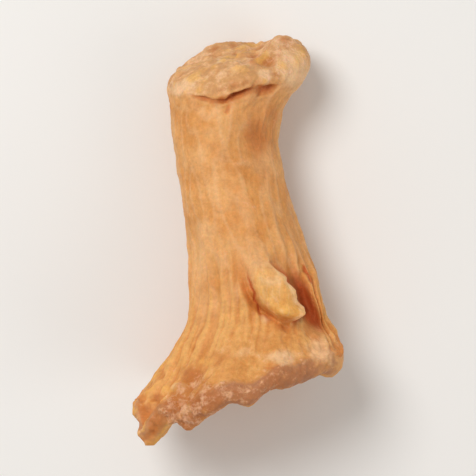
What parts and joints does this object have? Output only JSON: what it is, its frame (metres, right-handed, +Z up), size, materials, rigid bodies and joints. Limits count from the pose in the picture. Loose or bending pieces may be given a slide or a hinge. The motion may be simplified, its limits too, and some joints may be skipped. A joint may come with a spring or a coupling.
{
  "type": "chanterelle mushroom",
  "caption": "Whole chanterelle mushroom lying on its side, with a stout cut stem, forked folds running down from under the cap, a wavy margin and a shallow funnel-shaped cap.",
  "frame": {"origin": "centre of the bounding box's bottom face, on the plane of the three small flats that the mushroom rests on", "axes": "+Y along the stem from the cap to the cut foot, +Z up from the table through the side with the torn flap, +X to the right of the stem seen from above with the foot away from the viewer"},
  "size_m": [0.034, 0.0663, 0.0309],
  "materials": {
    "flesh": "matt orange-yellow mushroom flesh, slightly moist, with a little pinkish-white frost"
  },
  "bodies": {
    "root": {"chanterelle": "flesh"}
  },
  "joints": []
}
